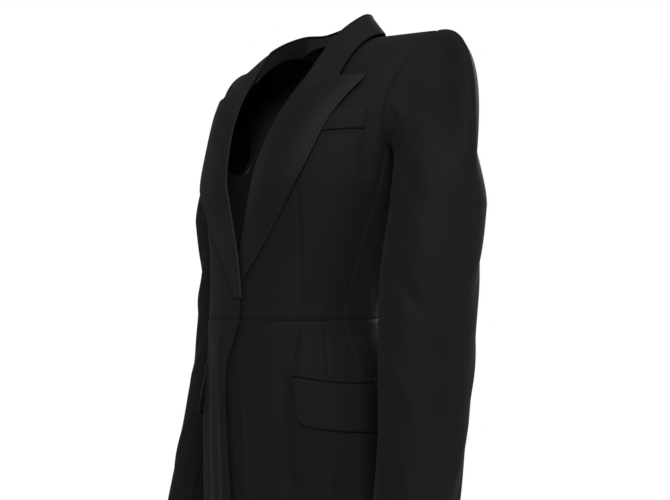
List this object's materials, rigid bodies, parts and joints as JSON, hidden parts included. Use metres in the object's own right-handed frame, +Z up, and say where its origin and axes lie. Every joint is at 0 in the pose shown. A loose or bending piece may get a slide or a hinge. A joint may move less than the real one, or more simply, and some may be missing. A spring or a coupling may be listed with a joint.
{
  "type": "women's tuxedo jacket",
  "caption": "Women's fitted peak-lapel tuxedo jacket in worn form, waist seam, padded shoulders, breast welt and flapped hip pockets.",
  "frame": {"origin": "between the two neck points of the shoulder seams, where the wearer's shoulders carry the jacket", "axes": "+Z up; the wearer faces -Y; the wearer's left side is +X"},
  "size_m": [0.5778, 0.3028, 0.7844],
  "materials": {
    "back_bodice_left_cloth": "matte",
    "back_bodice_right_cloth": "matte",
    "back_skirt_left_cloth": "matte",
    "back_skirt_right_cloth": "matte",
    "breast_welt_left_cloth": "matte",
    "collar_fall_cloth": "matte",
    "collar_stand_cloth": "matte",
    "front_bodice_left_cloth": "matte",
    "front_bodice_right_cloth": "matte",
    "front_skirt_left_cloth": "matte",
    "front_skirt_right_cloth": "matte",
    "lapel_left_cloth": "satin",
    "lapel_right_cloth": "satin",
    "pocket_flap_left_cloth": "matte",
    "pocket_flap_right_cloth": "matte",
    "pocket_jet_left_cloth": "matte",
    "pocket_jet_right_cloth": "matte",
    "side_bodice_left_cloth": "matte",
    "side_bodice_right_cloth": "matte",
    "side_skirt_left_cloth": "matte",
    "side_skirt_right_cloth": "matte",
    "top_sleeve_left_cloth": "matte",
    "top_sleeve_right_cloth": "matte",
    "under_sleeve_left_cloth": "matte",
    "under_sleeve_right_cloth": "matte",
    "waist_hook_cloth": "matte"
  },
  "bodies": {
    "root": {"back_bodice_left": "back_bodice_left_cloth", "back_bodice_right": "back_bodice_right_cloth", "back_skirt_left": "back_skirt_left_cloth", "back_skirt_right": "back_skirt_right_cloth", "breast_welt_left": "breast_welt_left_cloth", "collar_fall": "collar_fall_cloth", "collar_stand": "collar_stand_cloth", "front_bodice_left": "front_bodice_left_cloth", "front_bodice_right": "front_bodice_right_cloth", "front_skirt_left": "front_skirt_left_cloth", "front_skirt_right": "front_skirt_right_cloth", "lapel_left": "lapel_left_cloth", "lapel_right": "lapel_right_cloth", "pocket_flap_left": "pocket_flap_left_cloth", "pocket_flap_right": "pocket_flap_right_cloth", "pocket_jet_left": "pocket_jet_left_cloth", "pocket_jet_right": "pocket_jet_right_cloth", "side_bodice_left": "side_bodice_left_cloth", "side_bodice_right": "side_bodice_right_cloth", "side_skirt_left": "side_skirt_left_cloth", "side_skirt_right": "side_skirt_right_cloth", "top_sleeve_left": "top_sleeve_left_cloth", "top_sleeve_right": "top_sleeve_right_cloth", "under_sleeve_left": "under_sleeve_left_cloth", "under_sleeve_right": "under_sleeve_right_cloth", "waist_hook": "waist_hook_cloth"}
  },
  "joints": []
}
